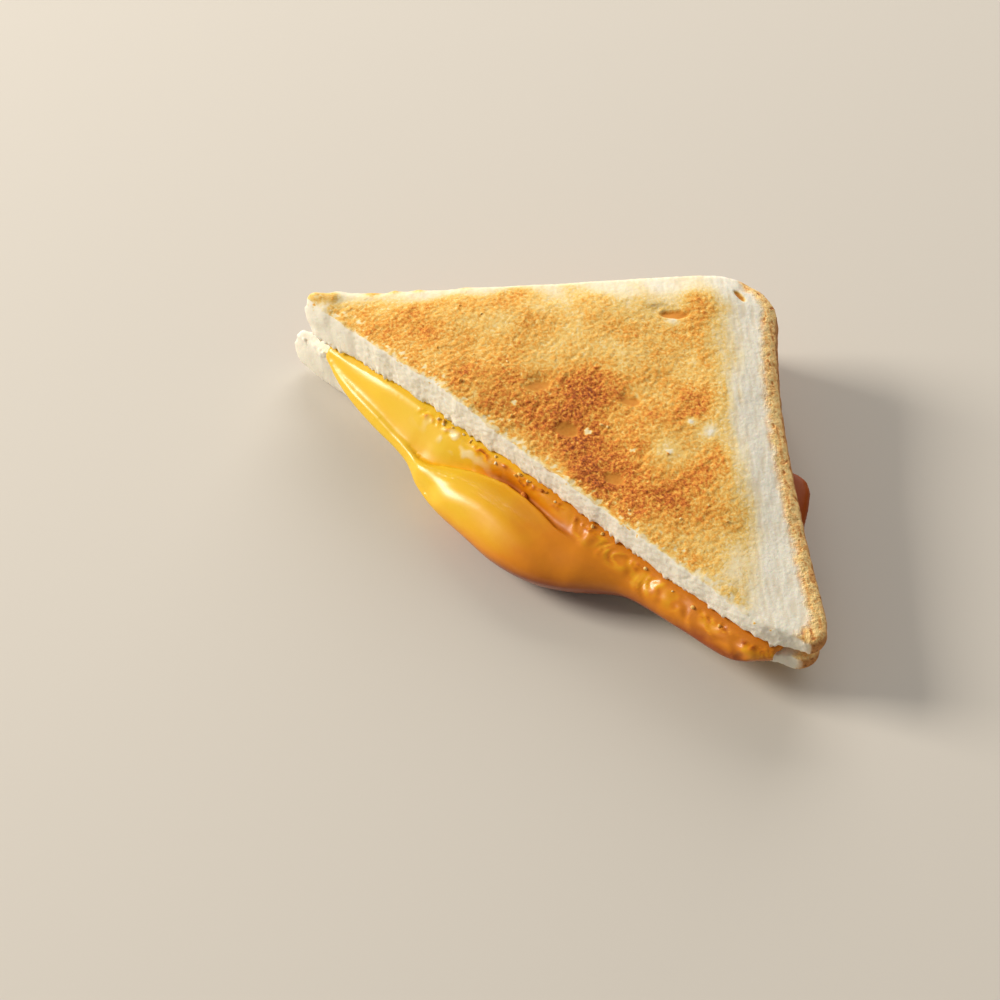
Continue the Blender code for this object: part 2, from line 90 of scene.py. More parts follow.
def grain(points, pitch, seed=0):
    """Smooth noise between about -1 and 1 at each point, of one pitch or one for each axis."""
    scaled = points / np.broadcast_to(np.asarray(pitch, float), (3,)) + 17.3 * seed
    return 2 * np.fromiter(map(noise.noise, map(Vector, scaled)), float, len(points))


def cells(points, pitch, seed=0):
    """Distance to the nearest of scattered seeds, as a share of their pitch."""
    scaled = points / np.broadcast_to(np.asarray(pitch, float), (3,)) + 17.3 * seed
    return np.fromiter((noise.voronoi(Vector(p))[0][0] for p in scaled), float, len(points))


def warped(points, pitch, amount, seed=0):
    """Points pushed sideways by smooth noise, to break up a regular pattern."""
    shifts = [grain(points, pitch, seed + axis) for axis in range(3)]
    return points + amount * np.stack(shifts, axis=1)


def on_share(mask, points, rule):
    """Values of a rule where the mask is above 0, and 0 elsewhere."""
    values = np.zeros(len(points))
    chosen = mask > 0.01
    values[chosen] = rule(points[chosen])
    return values


def blob(points, x, y, radius):
    """Soft round spot seen from above, 1 in its middle."""
    return np.exp(-((points[:, 0] - x) ** 2 + (points[:, 1] - y) ** 2) / radius**2)


def arc(x, y, radius, start, end, count=8):
    """Points round a corner, from one heading in degrees to another."""
    headings = np.radians(np.linspace(start, end, count))
    return [(x + radius * math.cos(a), y + radius * math.sin(a)) for a in headings]


def right_corner(end_heading):
    """The right crust's corner with its tighter end, down to a heading in degrees."""
    right_x = HALF + (EXTRA_WIDTH - CUT_CORNER_RIGHT) * DIAGONAL
    wide = arc(right_x, CUT_Y, CUT_CORNER_RIGHT, 45, TIP_HEADING)
    x, y = wide[-1]
    a = math.radians(TIP_HEADING)
    centre_x, centre_y = x - TIP_ROUND * math.cos(a), y - TIP_ROUND * math.sin(a)
    return wide + arc(centre_x, centre_y, TIP_ROUND, TIP_HEADING, end_heading)


def cut_line(x):
    """Where the cut runs at x: straight, and turned in near the right tip."""
    tip_x, tip_y = right_corner(TIP_TURN - 90)[-1]
    return np.maximum(CUT_Y, tip_y - (tip_x - x) * math.tan(math.radians(TIP_TURN)))


def right_crust_line():
    """The right crust from the crust corner to the right tip, seen from above."""
    shift = EXTRA_WIDTH / DIAGONAL
    back = arc(shift, CUT_Y + HALF + shift - CRUST_CORNER * DIAGONAL, CRUST_CORNER, 90, 45)
    front = right_corner(CRUST_END_HEADING)
    (x0, y0), (x1, y1) = back[-1], front[0]
    flank = []
    for t in np.linspace(0, 1, 24)[1:-1]:
        push = RIGHT_BOW * math.sin(math.pi * t**RIGHT_BOW_SKEW) / DIAGONAL
        flank.append((x0 + (x1 - x0) * t + push, y0 + (y1 - y0) * t + push))
    return back + flank + front


def left_crust_line():
    """The left crust from the nose to the crust corner, seen from above."""
    shift = EXTRA_WIDTH / DIAGONAL
    nose_x = -HALF + CUT_CORNER_LEFT * DIAGONAL
    nose = arc(nose_x, CUT_Y, CUT_CORNER_LEFT, 180, 135, 5)
    back_y = CUT_Y + HALF + shift - CRUST_CORNER * DIAGONAL
    return nose + arc(shift, back_y, CRUST_CORNER, 135, 90)


def distance_to(points, line):
    """Distance from each point to a line of points, seen from above."""
    nearest = np.full(len(points), 1.0)
    for (x0, y0), (x1, y1) in zip(line, line[1:]):
        along_x, along_y = x1 - x0, y1 - y0
        off_x, off_y = points[:, 0] - x0, points[:, 1] - y0
        length = max(along_x**2 + along_y**2, 1e-12)
        t = np.clip((off_x * along_x + off_y * along_y) / length, 0, 1)
        nearest = np.minimum(nearest, np.hypot(off_x - t * along_x, off_y - t * along_y))
    return nearest


def along_crust(points, across, along, upright):
    """Points scaled to noise pitches across and along the right crust, and upright."""
    return np.stack([(points[:, 0] + points[:, 1]) / (across * DIAGONAL),
                     (points[:, 1] - points[:, 0]) / (along * DIAGONAL),
                     points[:, 2] / upright], axis=1)


# Finer meshes from the solids

def applied(obj):
    """Replace the object's mesh by its evaluated one, without modifiers."""
    graph = bpy.context.evaluated_depsgraph_get()
    mesh = bpy.data.meshes.new_from_object(obj.evaluated_get(graph))
    obj.modifiers.clear()
    obj.data = mesh
    obj.data.name = obj.name


def refined_copy(node, name, voxel, relax):
    """A finely remeshed copy of a solid, its facets smoothed away."""
    obj = bpy.data.objects.new(name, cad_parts[node].data.copy())
    bpy.context.scene.collection.objects.link(obj)
    obj.data.materials.clear()
    bm = bmesh.new()
    bm.from_mesh(obj.data)
    bmesh.ops.remove_doubles(bm, verts=bm.verts, dist=1e-6)
    bm.to_mesh(obj.data)
    bm.free()
    remesh = obj.modifiers.new("remesh", "REMESH")
    remesh.mode = "VOXEL"
    remesh.voxel_size = voxel
    soften = obj.modifiers.new("soften", "SMOOTH")
    soften.factor = 0.5
    soften.iterations = relax
    applied(obj)
    return obj


def split_faces(obj, wanted):
    """Split the wanted faces in four, to carry finer relief."""
    bm = bmesh.new()
    bm.from_mesh(obj.data)
    bm.normal_update()
    edges = {edge for face in bm.faces if wanted(face) for edge in face.edges}
    bmesh.ops.subdivide_edges(bm, edges=list(edges), cuts=1, use_grid_fill=True)
    bm.to_mesh(obj.data)
    bm.free()


def surface(obj):
    """The points and normals of the object's mesh, each as rows of x, y and z."""
    mesh = obj.data
    points = np.empty(len(mesh.vertices) * 3)
    mesh.vertices.foreach_get("co", points)
    normals = np.empty(len(mesh.vertices) * 3)
    mesh.vertex_normals.foreach_get("vector", normals)
    return points.reshape(-1, 3), normals.reshape(-1, 3)


def hollows(obj, points, normals, rounds):
    """How far each point lies below its surroundings, negative on a rise."""
    mesh = obj.data
    edges = np.empty(len(mesh.edges) * 2, dtype=np.int64)
    mesh.edges.foreach_get("vertices", edges)
    first, second = edges.reshape(-1, 2).T
    count = len(points)
    degree = np.bincount(first, minlength=count) + np.bincount(second, minlength=count)
    soft = points.copy()
    for _ in range(rounds):
        for axis in range(3):
            total = np.bincount(first, soft[second, axis], count)
            total += np.bincount(second, soft[first, axis], count)
            soft[:, axis] = total / degree
    return np.sum((soft - points) * normals, axis=1)


def edge_heights(points, chosen):
    """Lowest and highest z of the chosen points at each x, by strips across the cut."""
    strips = np.arange(-HALF, HALF, EDGE_STRIP)
    index = np.clip(((points[:, 0] + HALF) / EDGE_STRIP).astype(int), 0, len(strips) - 1)
    low = np.full(len(strips), np.inf)
    high = np.full(len(strips), -np.inf)
    np.minimum.at(low, index[chosen], points[chosen, 2])
    np.maximum.at(high, index[chosen], points[chosen, 2])
    known = low < high
    middle = strips + EDGE_STRIP / 2
    return (np.interp(points[:, 0], middle[known], low[known]),
            np.interp(points[:, 0], middle[known], high[known]))


def store_looks(mesh, looks):
    """Store four looks values for each point of a mesh, for its material to read."""
    stored = mesh.attributes.new("looks", "FLOAT_COLOR", "POINT")
    stored.data.foreach_set("color", np.stack(looks, axis=1).ravel())
    mesh.update()
    mesh.shade_smooth()


def reshape(obj, points, looks):
    """Move the mesh to new points and store its looks."""
    points[:, 2] = np.maximum(points[:, 2], FLOOR_CLEARANCE)
    obj.data.vertices.foreach_set("co", points.ravel())
    store_looks(obj.data, looks)


# Bread: mesh pitch, smoothing rounds, and the uprightness at which faces are split
BREAD_VOXEL = 0.00066
BREAD_SOFTENING = 2
TOP_SPLIT_ABOVE = -0.3
BOTTOM_SPLIT_BELOW = 0.6

# How toasted it is: the upper face in all and at its edges, the underside and the torn bits
BASE_TOAST = 0.43
TOAST_AT_LEFT = 0.22
TOAST_AT_CUT = 0.30
TOAST_AT_NOSE = 0.50
BOTTOM_SHARE = 0.8
BIT_TOAST = 0.62

# Pale band along the right crust, pale left edge, and the crust's rims
BAND_WIDTH = 0.0112
BAND_AT_TIP = 0.0150
LEFT_PALE_WIDTH = 0.0034
LEFT_PALE_AT_BACK = 0.0050
CRUST_RIM_WIDTH = 0.0050
LEFT_RIM_WIDTH = 0.0004

# Where the toast starts to pale at each edge, and how wide that step is
BAND_START = 0.0042
BAND_STEP = 0.0092
LEFT_STEP = 0.0045
CUT_START = 0.0006
CUT_STEP = 0.0018
NIBBLE_DEPTH = 0.0024
NOSE_START = 0.0670
NOSE_STEP = 0.0050

# Relief of the bread in millimetres; the face's grain is for pale, browned and crisp toast
FACE_WAVES = 0.07
FACE_GRAIN = (0.02, 0.03, 0.10)
BAND_STREAKS = 0.03
CRUMB_GRAIN = 0.08
CRUMB_WAVES = 0.12
PORE_DEPTH = 0.20
TORN_REACH = 0.30
TORN_DROP = 0.6
CRUST_WAVES = 0.08
PIT_DEPTH = 0.15
TOP_NOSE_WAVES = 0.35
BOTTOM_NOSE_WAVES = 0.20

# Browner and paler spots of the toasted face: x, y, radius, amount
DARK_SPOTS = [(-0.006, -0.001, 0.006, 0.14), (-0.003, -0.006, 0.006, 0.20),
              (-0.007, -0.013, 0.007, 0.22), (0.004, -0.017, 0.007, 0.26),
              (0.013, -0.020, 0.008, 0.22), (0.022, -0.017, 0.007, 0.16),
              (0.029, -0.012, 0.006, 0.14), (-0.016, -0.018, 0.007, 0.16),
              (0.012, -0.009, 0.008, 0.06), (0.013, 0.010, 0.004, 0.14),
              (0.015, 0.004, 0.004, 0.18), (0.026, -0.003, 0.006, 0.08),
              (-0.001, 0.027, 0.005, 0.04), (0.001, 0.021, 0.004, 0.04),
              (-0.004, 0.031, 0.004, 0.03), (-0.010, 0.012, 0.004, 0.08),
              (-0.044, -0.015, 0.006, 0.16), (-0.051, -0.020, 0.006, 0.08),
              (-0.028, -0.014, 0.009, 0.08), (-0.027, 0.000, 0.002, 0.10),
              (0.037, -0.021, 0.002, 0.10)]
PALE_SPOTS = [(-0.034, -0.006, 0.005, 0.14), (-0.025, 0.008, 0.008, 0.10),
              (-0.015, 0.020, 0.007, 0.16), (-0.013, 0.028, 0.006, 0.24),
              (-0.006, 0.007, 0.004, 0.12), (0.005, 0.013, 0.003, 0.12),
              (0.017, -0.005, 0.003, 0.18), (0.0205, 0.0040, 0.0022, 0.36),
              (0.0163, 0.0035, 0.0012, 0.40), (-0.0041, 0.0222, 0.0016, 0.30),
              (0.045, -0.013, 0.006, 0.17), (0.047, -0.020, 0.006, 0.15),
              (0.006, 0.024, 0.005, 0.06), (-0.044, -0.006, 0.006, 0.06)]

# Toasted lumps where the nose and the left crust stand proud: x, y, radius, height
EDGE_LUMPS = [(-0.0688, -0.0226, 0.0022, 0.0006), (-0.0660, -0.0205, 0.0016, 0.0004),
              (-0.0607, -0.0130, 0.0018, 0.0005), (-0.0570, -0.0102, 0.0013, 0.0004),
              (-0.0530, -0.0064, 0.0016, 0.0003), (-0.0455, 0.0006, 0.0016, 0.0002)]
LUMP_TOAST = 0.30

# White flecks of crumb left on the toasted face: x, y, radius
PALE_FLECKS = [(0.0014, -0.0120, 0.0009), (-0.0152, -0.0170, 0.0007),
               (0.0163, 0.0035, 0.0007), (0.0208, 0.0040, 0.0009),
               (0.0178, -0.0052, 0.0007), (0.0118, -0.0100, 0.0006)]
FLECK_HEIGHT = 0.08

# Air holes in the toasted top: x, y, long and short radius, turn in degrees, depth
AIR_HOLES = [(-0.0142, -0.0104, 0.0026, 0.0015, 52, 0.0002),
             (-0.0024, -0.0145, 0.0026, 0.0018, 30, 0.0003),
             (0.0032, -0.0006, 0.0021, 0.0012, 30, 0.0002),
             (0.0131, -0.0175, 0.0022, 0.0013, 15, 0.0002),
             (-0.0053, 0.0237, 0.0032, 0.0012, 38, 0.0005),
             (0.0013, 0.0386, 0.0018, 0.0007, -10, 0.0004)]
HOLE_TOAST = 0.56


def air_holes(points):
    """Depth of the air holes at each point, and 1 where a hole's floor is."""
    depth = np.zeros(len(points))
    floor = np.zeros(len(points))
    ragged = 0.12 * grain(points, 0.0012, 8)
    for x, y, long, short, turn, deep in AIR_HOLES:
        a = math.radians(turn)
        off_x, off_y = points[:, 0] - x, points[:, 1] - y
        u = (off_x * math.cos(a) + off_y * math.sin(a)) / long
        v = (off_y * math.cos(a) - off_x * math.sin(a)) / short
        inside = smooth((1.15 - np.hypot(u, v) + ragged) / 0.4)
        depth = np.maximum(depth, deep * inside)
        floor = np.maximum(floor, inside)
    return depth, floor


def toast_level(points, right, left):
    """How toasted the upper face is: 0 pale crumb, 1 dark brown."""
    flat = points * (1, 1, 0)
    level = BASE_TOAST + 0.06 * grain(flat, 0.011, 3) + 0.06 * grain(flat, 0.0045, 9)
    for x, y, radius, amount in DARK_SPOTS:
        level += amount * blob(points, x, y, radius)
    for x, y, radius, amount in PALE_SPOTS:
        level -= amount * blob(points, x, y, radius)
    fibres = grain(along_crust(flat, 0.0009, 0.0060, 1.0), 1.0, 5)
    tip = smooth((points[:, 0] - 0.030) / 0.030)
    band = BAND_WIDTH + (BAND_AT_TIP - BAND_WIDTH) * tip
    band = band * (1 + 0.12 * grain(flat, 0.009, 1)) + 0.0008 * fibres
    from_right = smooth((right - band + BAND_START) / BAND_STEP)
    back = smooth((points[:, 1] - 0.005) / 0.030)
    edge = LEFT_PALE_WIDTH + (LEFT_PALE_AT_BACK - LEFT_PALE_WIDTH) * back
    edge = edge * (1 + 0.5 * grain(flat, 0.008, 2))
    from_left = fade(TOAST_AT_LEFT, (left - edge) / LEFT_STEP)
    nibbles = 0.5 * np.maximum(0, grain(flat, (0.0036, 0.0020, 1), 4))
    nibbles += np.maximum(0, grain(flat, 0.0009, 12))
    inward = points[:, 1] - cut_line(points[:, 0]) + CUT_START - NIBBLE_DEPTH * nibbles
    from_cut = fade(TOAST_AT_CUT, inward / CUT_STEP)
    from_nose = fade(TOAST_AT_NOSE, (points[:, 0] + NOSE_START) / NOSE_STEP)
    return np.maximum(level, 0) * from_right * from_left * from_cut * from_nose


def lumps_at(points):
    """Height of the toasted lumps on the nose and the left crust."""
    height = np.zeros(len(points))
    for x, y, radius, rise in EDGE_LUMPS:
        height += rise * blob(points, x, y, radius)
    return height


def flecks_at(points):
    """How far each point belongs to a white fleck on the toasted face."""
    flecks = np.zeros(len(points))
    ragged = 1 + 0.9 * grain(points, 0.0007, 15)
    for x, y, radius in PALE_FLECKS:
        flecks = np.maximum(flecks, blob(points, x, y, radius) * ragged)
    return 0.8 * smooth((flecks - 0.30) / 0.4)


def slice_zones(points, normals, right, left, upper):
    """How far each point belongs to the face, the cut, the crust, its side and the nose."""
    outer = normals[:, 2] if upper else -normals[:, 2]
    face = smooth((outer + 0.22 * grain(points, 0.0018, 6) - 0.42) / 0.25)
    depth = points[:, 1] - cut_line(points[:, 0])
    turned = 0.35 + 0.35 * smooth((points[:, 0] - 0.061) / 0.003)
    at_cut = smooth((-normals[:, 1] - turned) / 0.3) * (depth < 0.0035) * (1 - face)
    side = (1 - smooth((np.abs(normals[:, 2]) - 0.25) / 0.5)) * (1 - at_cut)
    fray = 0.0004 * grain(points, 0.0016, 7)
    rim = np.maximum(smooth((CRUST_RIM_WIDTH - right + fray) / 0.0022),
                     smooth((LEFT_RIM_WIDTH - left + fray) / 0.0010))
    nose = smooth((-points[:, 0] - 0.058) / 0.010)
    backward = smooth(((normals[:, 1] - normals[:, 0]) / DIAGONAL - 0.6) / 0.3)
    crust = np.maximum(rim, side) * (1 - at_cut) * (1 - nose * (1 - backward))
    return face, at_cut, crust, side, nose


def crumb_relief(points, at_cut, upper):
    """Push, openness and toasted bits of the crumb, and how far its torn edge reaches."""
    calm = at_cut * (1 - 0.9 * smooth((-0.052 - points[:, 0]) / 0.006))
    small = smooth((0.36 - on_share(calm, points, lambda p: cells(p, 0.0011, 22))) / 0.28)
    large = smooth((0.24 - on_share(calm, points, lambda p: cells(p, 0.0050, 21))) / 0.16)
    opened = calm * np.clip(0.34 * small + 0.8 * large, 0, 1)
    push = calm * (CRUMB_GRAIN * grain(points, 0.0009, 23)
                   + CRUMB_WAVES * grain(points, 0.0042, 25))
    push -= PORE_DEPTH * opened
    low, high = edge_heights(points, at_cut > 0.5)
    share = (points[:, 2] - low) / (high - low)
    teeth = np.maximum(0, 0.45 * grain(points * (1, 0, 0), 0.0030, 26)
                       + 0.9 * grain(points * (1, 0, 1), 0.0009, 27))
    torn = at_cut * (1 - smooth((share if upper else 1 - share) / 0.26))
    push += TORN_REACH * torn * teeth
    bits = on_share(at_cut, points, lambda p: cells(
        warped(p, 0.0010, 0.0004, 28), (0.0015, 0.0015, 0.0011), 29))
    patches = smooth(0.35 + 0.9 * grain(points, 0.0060, 35))
    fringe = 0.8 * smooth((share - 0.72) / 0.2) * patches + 0.6 * torn * patches
    toasted = at_cut * smooth((0.16 + 0.22 * fringe - bits) / 0.08) * (0.1 + 0.9 * fringe)
    drop = TORN_DROP * torn * teeth * (-1 if upper else 1)
    return push, opened, BIT_TOAST * toasted * upper, drop


def crust_pits(points, crust, right, left):
    """Pits of the baked crust, drawn out along it."""
    mirror = np.where(left < right, -1.0, 1.0)[:, None]
    aligned = mirror * (1, 0, 0) * points + points * (0, 1, 1)
    fine = on_share(crust, aligned, lambda p: cells(
        along_crust(warped(p, 0.0012, 0.0003, 36), 0.0006, 0.0013, 0.0009), 1.0, 31))
    wide = on_share(crust, aligned, lambda p: cells(
        along_crust(warped(p, 0.0020, 0.0005, 39), 0.0014, 0.0036, 0.0022), 1.0, 33))
    return crust * np.maximum(0.7 * smooth((0.46 - fine) / 0.34), smooth((0.27 - wide) / 0.16))


def shape_bread(obj, upper):
    """Relief and looks of a slice: toasted face, crumb at the cut and baked crust, with
    painted shade in its hollows.
    """
    points, normals = surface(obj)
    right = distance_to(points, right_crust_line())
    left = distance_to(points, left_crust_line())
    face, at_cut, crust, side, nose = slice_zones(points, normals, right, left, upper)
    if upper:
        toast = toast_level(points, right, left)
    else:
        toast = BOTTOM_SHARE * toast_level(points * (-1, 1, 1), left, right)
    toast = toast * face * (1 - 0.7 * crust)
    browned = smooth(toast / 0.30)
    pale = face * (1 - browned)
    depth, floor = air_holes(points) if upper else (0.0, 0.0)

    rough = face * (1 - 0.9 * floor)
    crisp = smooth((toast - 0.20) / 0.50)
    push = FACE_WAVES * rough * (0.3 + 0.7 * crisp) * grain(points, 0.0032, 10)
    pale_grain, brown_grain, crisp_grain = FACE_GRAIN
    grit = pale_grain + brown_grain * browned + crisp_grain * crisp
    push += rough * grit * grain(points, 0.0009, 11)
    streak = on_share(pale, points, lambda p: grain(
        along_crust(p, 0.0007, 0.0042, 0.004), 1.0, 13))
    push += BAND_STREAKS * pale * streak
    # Painted shade in the grooves between the pale band's streaks
    cavity_shade = 0.45 * pale * smooth((-streak - 0.25) / 0.5)

    crumb_push, opened, bits, drop = crumb_relief(points, at_cut, upper)
    push += crumb_push
    # Painted shade in the crumb's open pores
    cavity_shade += 0.22 * opened
    toast = toast + bits

    pits = crust_pits(points, crust, right, left)
    push += CRUST_WAVES * crust * grain(points, 0.0020, 32) - PIT_DEPTH * pits
    # Painted shade in the crust's pits
    cavity_shade += pits
    if upper:
        lumps = lumps_at(points) * smooth((normals[:, 2] - 0.25) / 0.4)
        flecks = face * flecks_at(points)
        push += (lumps - face * depth) / MM + FLECK_HEIGHT * flecks
        # Painted shade on the floors of the air holes
        cavity_shade += 0.8 * face * floor
        toast = toast + face * floor * (HOLE_TOAST - toast)
        toast = toast * (1 - flecks) + LUMP_TOAST * smooth(lumps / 0.0004)
        crust = crust * (1 - smooth(lumps / 0.0003))
    waves = TOP_NOSE_WAVES if upper else BOTTOM_NOSE_WAVES
    push += waves * nose * grain(points, 0.0045, 14)
    points = points + normals * (MM * push)[:, None]
    points[:, 2] += MM * drop
    reshape(obj, points, (toast, crust, np.clip(cavity_shade, 0, 1), side))


# Materials

def linear(red, green, blue):
    """Linear colour from 0-255 values as a screen shows them."""
    return tuple(((c / 255 + 0.055) / 1.055) ** 2.4 for c in (red, green, blue))


def shader_node(tree, kind, place, **settings):
    """Add a shader node and set its properties."""
    made = tree.nodes.new(kind)
    made.location = place
    for key, value in settings.items():
        setattr(made, key, value)
    return made


def feed(tree, socket, value):
    """Give a socket a number, a colour or another socket."""
    if isinstance(value, (int, float)):
        socket.default_value = value
    elif isinstance(value, tuple):
        socket.default_value = (*value, 1.0)
    else:
        tree.links.new(value, socket)


def ramp(tree, place, value, stops):
    """Colours along a value, from (position, screen colour) stops."""
    made = shader_node(tree, "ShaderNodeValToRGB", place)
    elements = made.color_ramp.elements
    while len(elements) < len(stops):
        elements.new(0.5)
    for element, (position, colour) in zip(elements, stops):
        element.position = position
        element.color = (*linear(*colour), 1.0)
    feed(tree, made.inputs[0], value)
    return made.outputs[0]


def maths(tree, place, operation, first, second=0.0, clamp=False):
    """Math node on sockets or numbers."""
    made = shader_node(tree, "ShaderNodeMath", place, operation=operation, use_clamp=clamp)
    feed(tree, made.inputs[0], first)
    feed(tree, made.inputs[1], second)
    return made.outputs[0]


def mixed(tree, place, share, first, second, blend="MIX"):
    """Mix of two colours by a share."""
    made = shader_node(tree, "ShaderNodeMix", place, data_type="RGBA", blend_type=blend)
    feed(tree, made.inputs[0], share)
    feed(tree, made.inputs[6], first)
    feed(tree, made.inputs[7], second)
    return made.outputs[2]


def noise_at(tree, place, coordinates, pitch, detail=2.0, roughness=0.5):
    """Noise texture with its pitch in metres, centred on 0."""
    made = shader_node(tree, "ShaderNodeTexNoise", place)
    made.inputs["Scale"].default_value = 1 / pitch
    made.inputs["Detail"].default_value = detail
    made.inputs["Roughness"].default_value = roughness
    feed(tree, made.inputs["Vector"], coordinates)
    return maths(tree, (place[0] + 180, place[1]), "SUBTRACT", made.outputs["Fac"], 0.5)


def bump(tree, place, height, strength, distance):
    """Bump from a height in shares of the distance."""
    made = shader_node(tree, "ShaderNodeBump", place)
    made.inputs["Strength"].default_value = strength
    made.inputs["Distance"].default_value = distance
    feed(tree, made.inputs["Height"], height)
    return made.outputs[0]


def new_material(name):
    """A node material: the material, its tree, shader, coordinates and four looks values."""
    made = bpy.data.materials.new(name)
    made.use_nodes = True
    tree = made.node_tree
    shader = tree.nodes["Principled BSDF"]
    coordinates = shader_node(tree, "ShaderNodeTexCoord", (-1600, 0)).outputs["Object"]
    looks = shader_node(tree, "ShaderNodeAttribute", (-1600, -300), attribute_name="looks")
    split = shader_node(tree, "ShaderNodeSeparateColor", (-1400, -300))
    feed(tree, split.inputs[0], looks.outputs["Color"])
    return made, tree, shader, coordinates, (*split.outputs, looks.outputs["Alpha"])


TOAST_COLOURS = [(0.00, (239, 232, 213)), (0.14, (240, 221, 174)), (0.32, (237, 198, 112)),
                 (0.50, (231, 166, 66)), (0.68, (214, 127, 42)), (0.84, (186, 95, 28)),
                 (1.00, (138, 65, 24))]
CRUST_COLOURS = [(0.0, (255, 216, 144)), (0.4, (252, 196, 118)), (1.0, (204, 130, 68))]
# Darker colours for the crust's side: baked crust colour with painted shade
SHADED_CRUST_SIDE_COLOURS = [(0.0, (206, 140, 76)), (1.0, (142, 86, 44))]
# Painted shade: colour multiplied into pores, pits, hole floors and grooves
HOLLOW_SHADE_COLOUR = (212, 184, 138)

# How the bread's colour and bump vary: pitches, strengths, the share of painted shade in
# hollows, and bump as strength and distance
FINE_PITCH = 0.00062
MEDIUM_PITCH = 0.0017
SPECKLE = 2.1
MOTTLE = 0.6
HOLLOW_SHADE = 0.55
LEAST_COARSE = 0.20
BREAD_BUMP = (0.9, 0.0006)


def bread_material():
    """Bread whose colours follow the stored toast, crust, painted cavity shade and side
    values.
    """
    made, tree, shader, place, (toast, crust, cavity_shade, side) = new_material("toasted_bread")
    fine = noise_at(tree, (-1400, 500), place, FINE_PITCH, 3.0, 0.65)
    medium = noise_at(tree, (-1400, 300), place, MEDIUM_PITCH, 2.0)
    speckle = maths(tree, (-1000, 650), "MULTIPLY", fine, SPECKLE)
    mottle = maths(tree, (-1000, 450), "MULTIPLY", medium, MOTTLE)
    swing = maths(tree, (-800, 500), "ADD", speckle, mottle)
    flat = maths(tree, (-800, 700), "SUBTRACT", 1.0, cavity_shade, clamp=True)
    swing = maths(tree, (-600, 600), "MULTIPLY", swing, flat)
    swing = maths(tree, (-600, 500), "MULTIPLY", swing, toast)
    level = maths(tree, (-400, 500), "ADD", toast, swing, clamp=True)
    browned = ramp(tree, (-250, 500), level, TOAST_COLOURS)
    # Crust colour darkens with painted shade in its pits, and with noise
    pitted = maths(tree, (-550, 100), "ADD", cavity_shade, medium)
    pitted = maths(tree, (-400, 100), "ADD", pitted, fine, clamp=True)
    rim = ramp(tree, (-250, 200), pitted, CRUST_COLOURS)
    flank = ramp(tree, (-250, -50), pitted, SHADED_CRUST_SIDE_COLOURS)
    # The crust's side takes the darker colours: baked crust with painted shade
    baked = mixed(tree, (0, 100), side, rim, flank)
    colour = mixed(tree, (200, 300), crust, browned, baked)
    # Painted shade: colour darkened where the stored cavity shade is high
    hollow = maths(tree, (0, -200), "MULTIPLY", cavity_shade, HOLLOW_SHADE)
    colour = mixed(tree, (400, 300), hollow, colour, linear(*HOLLOW_SHADE_COLOUR), "MULTIPLY")
    feed(tree, shader.inputs["Base Color"], colour)
    shader.inputs["Roughness"].default_value = 0.8
    shader.inputs["Specular IOR Level"].default_value = 0.3
    shader.inputs["Subsurface Weight"].default_value = 0.15
    shader.inputs["Subsurface Radius"].default_value = (1.0, 0.6, 0.3)
    shader.inputs["Subsurface Scale"].default_value = 0.0012
    coarse = maths(tree, (-550, -450), "MULTIPLY", toast, toast)
    coarse = maths(tree, (-400, -450), "ADD", coarse, crust)
    coarse = maths(tree, (-250, -450), "ADD", coarse, LEAST_COARSE, clamp=True)
    height = maths(tree, (-250, -600), "ADD", fine, medium)
    height = maths(tree, (-100, -600), "MULTIPLY", height, flat)
    height = maths(tree, (0, -450), "MULTIPLY", height, coarse)
    feed(tree, shader.inputs["Normal"], bump(tree, (200, -400), height, *BREAD_BUMP))
    return made


def finish_piece(piece, replaced=None):
    """Fix a piece to the sandwich, and hide the solid it replaces."""
    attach(piece, "root")
    if replaced:
        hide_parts(replaced)


def make_bread(looks):
    """Both slices, remeshed, roughened and coloured."""
    pieces = []
    for name, node, slot in (("toasted_top_slice", "top_slice", "toast"),
                             ("toasted_bottom_slice", "bottom_slice", "bread")):
        upper = node == "top_slice"
        piece = refined_copy(node, name, BREAD_VOXEL, BREAD_SOFTENING)
        if upper:
            split_faces(piece, lambda face: face.normal.z > TOP_SPLIT_ABOVE)
        else:
            split_faces(piece, lambda face: abs(face.normal.z) < BOTTOM_SPLIT_BELOW)
        shape_bread(piece, upper)
        piece.data.materials.append(looks)
        finish_piece(piece, node)
        pieces.append(piece)
    return pieces


# Cheese: mesh pitch, smoothing rounds, and how its crease and its dome are found
CHEESE_VOXEL = 0.00045
CHEESE_SOFTENING = 6
CREASE_ROUNDS = 40
CREASE_DEPTH = 0.0006
DOME_ROUNDS = 160
DOME_SHARE = 0.9

# Relief of the cheese in millimetres
CHEESE_WAVES = 0.10
STRAND_HEIGHT = 0.30
LUMP_HEIGHT = 0.24
FRINGE_HEIGHT = 0.38
INNER_SWELL = 0.30
GLINT_PATCH_HEIGHT = 0.10

# How deep its colour is: a base everywhere and deeper on torn shreds, as the cheese's own
# colour; painted shade deepening it to the right, on the tongue and its end, in the folds and
# the crease pocket, underneath and at the back; and paler patches on stuck lumps and strands
BASE_HEAT = 0.04
RIGHT_SHADE = 0.60
TONGUE_SHADE = 0.06
FOLD_SHADE = 0.30
SHRED_HEAT = 0.65
CREASE_POCKET_SHADE = 0.36
LUMP_PALING = 0.20
TONGUE_END_SHADE = 0.40
UNDERSIDE_SHADE = 0.64
STRAND_PALING = 0.30
BACK_SHADE = 0.5

